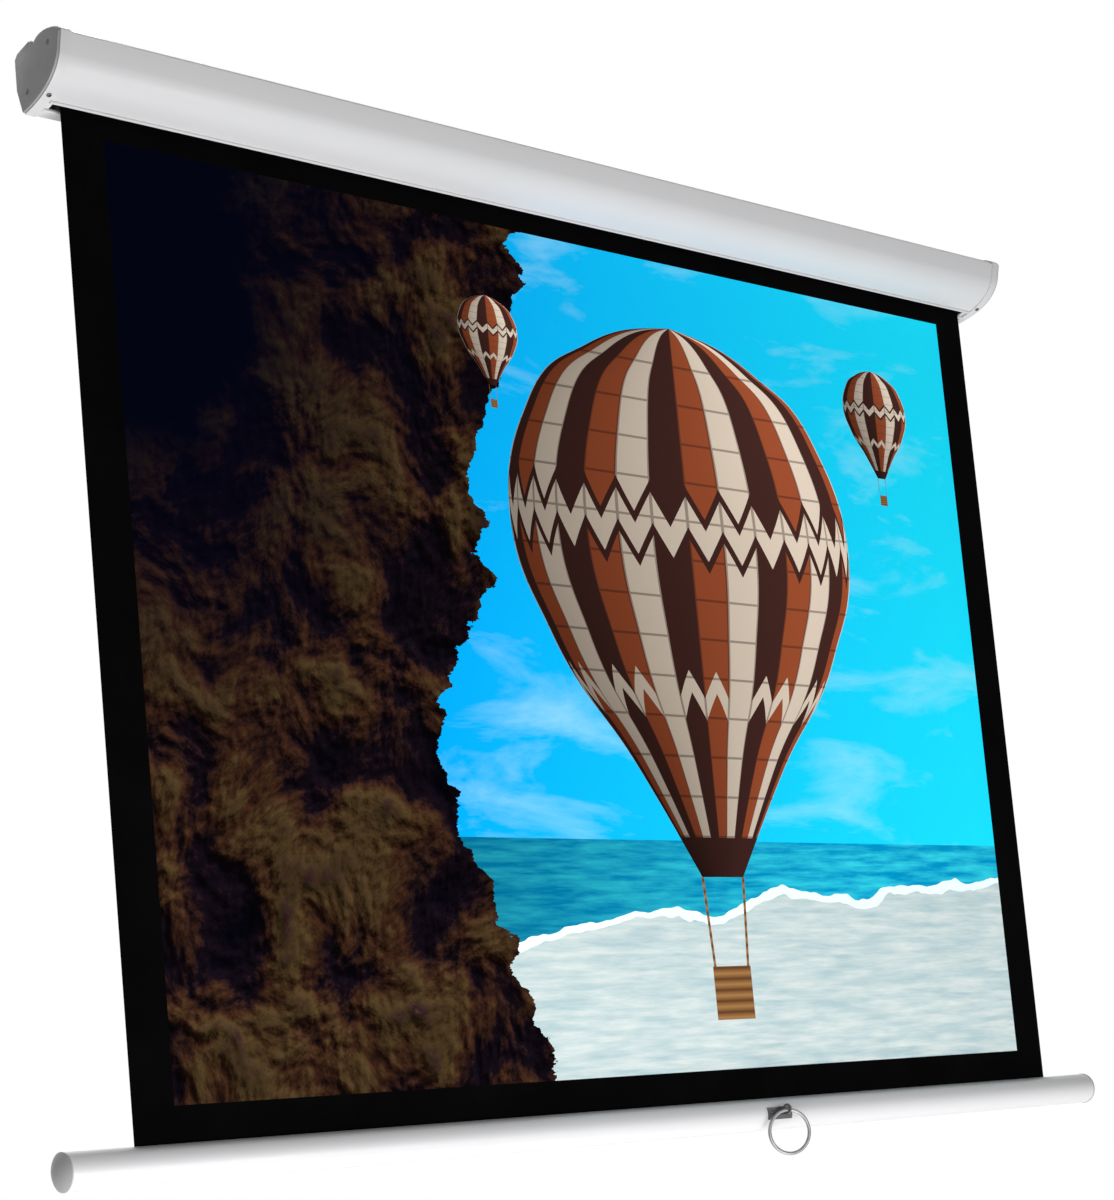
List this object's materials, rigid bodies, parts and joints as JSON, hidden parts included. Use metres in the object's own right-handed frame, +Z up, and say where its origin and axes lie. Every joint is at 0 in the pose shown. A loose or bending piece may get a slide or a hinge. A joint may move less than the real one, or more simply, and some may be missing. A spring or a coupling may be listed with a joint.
{
  "type": "pull down projector screen",
  "caption": "Wall-hung projection screen: fabric with black borders on a spring roller in a slim case, with a weighted bottom bar and a pull ring.",
  "frame": {"origin": "centre of the case's flat back face, on the wall plane", "axes": "+X along the width to the viewer's right, +Y towards the wall, +Z up; the screen is pulled all the way down"},
  "size_m": [1.936, 0.1043, 1.459],
  "materials": {
    "case_paint": "satin white powder coat on an aluminium extrusion",
    "cap_plastic": "moulded white plastic, fine grain",
    "cover_plastic": "moulded mid grey plastic, matt",
    "screw_steel": "zinc plated steel, dulled",
    "bracket_steel": "zinc plated pressed steel",
    "roller_steel": "drawn steel, bright",
    "nylon": "natural nylon",
    "spring_steel": "oiled dark spring steel",
    "screen_fabric": "woven glass fibre screen fabric: black borders and back, matt viewing face",
    "bar_paint": "satin white powder coat on an aluminium tube",
    "bar_cap_plastic": "moulded grey plastic, matt",
    "eye_steel": "dark grey painted steel",
    "ring_steel": "nickel plated wire"
  },
  "bodies": {
    "case": {"case_shell": "case_paint", "end_cap_left": "cap_plastic", "end_cap_right": "cap_plastic", "side_cover_left": "cover_plastic", "side_cover_right": "cover_plastic", "belly_screw_left": "screw_steel", "belly_screw_right": "screw_steel", "cover_screw_left_1": "screw_steel", "cover_screw_left_2": "screw_steel", "cover_screw_right_1": "screw_steel", "cover_screw_right_2": "screw_steel", "wall_bracket_left": "bracket_steel", "wall_bracket_right": "bracket_steel", "bracket_screw_left_1": "screw_steel", "bracket_screw_left_2": "screw_steel", "bracket_screw_right_1": "screw_steel", "bracket_screw_right_2": "screw_steel", "bearing_plate_left": "bracket_steel", "bearing_plate_right": "bracket_steel", "plate_screw_left_1": "screw_steel", "plate_screw_left_2": "screw_steel", "plate_screw_right_1": "screw_steel", "plate_screw_right_2": "screw_steel", "bush_right": "nylon", "spear_shaft": "roller_steel", "spring_collar": "nylon", "ratchet_wheel": "spring_steel", "screen_fabric": "screen_fabric"},
    "roller": {"roller_tube": "roller_steel", "roller_plug_left": "nylon", "roller_plug_right": "nylon", "bush_left": "nylon", "gudgeon_pin": "roller_steel", "spring_anchor": "nylon", "torsion_spring": "spring_steel", "fabric_roll": "screen_fabric", "pawl_pin_upper": "roller_steel", "pawl_pin_lower": "roller_steel"},
    "upper_pawl": {"pawl_upper": "spring_steel"},
    "lower_pawl": {"pawl_lower": "spring_steel"},
    "bar": {"bar_tube": "bar_paint", "bar_cap_left": "bar_cap_plastic", "bar_cap_right": "bar_cap_plastic", "hem_rod": "roller_steel", "ring_eye_plate": "eye_steel", "eye_screw_1": "screw_steel", "eye_screw_2": "screw_steel"},
    "ring": {"pull_ring": "ring_steel"}
  },
  "joints": [
    {"name": "bar_slide", "type": "slide", "parent": "case", "child": "bar", "axis": [0, 0, 1], "range_m": [0, 1.266], "deforming": ["screen_fabric"]},
    {"name": "roller_spin", "type": "hinge", "parent": "case", "child": "roller", "pos_m": [0, -0.057, -0.007], "axis": [1, 0, 0], "range_deg": [0, 3600]},
    {"name": "upper_pawl_swing", "type": "hinge", "parent": "roller", "child": "upper_pawl", "pos_m": [-0.868, -0.057, 0.006], "axis": [1, 0, 0], "range_deg": [0, 25]},
    {"name": "lower_pawl_swing", "type": "hinge", "parent": "roller", "child": "lower_pawl", "pos_m": [-0.868, -0.057, -0.02], "axis": [1, 0, 0], "range_deg": [0, 25]},
    {"name": "ring_swing", "type": "hinge", "parent": "bar", "child": "ring", "pos_m": [0.214, -0.0742, -1.34018], "axis": [0.9272, -0.3746, 0], "range_deg": [-85, 0]}
  ],
  "couplings": [
    {"joint": "roller_spin", "follows": "bar_slide", "rad_per_m": 49.63}
  ]
}
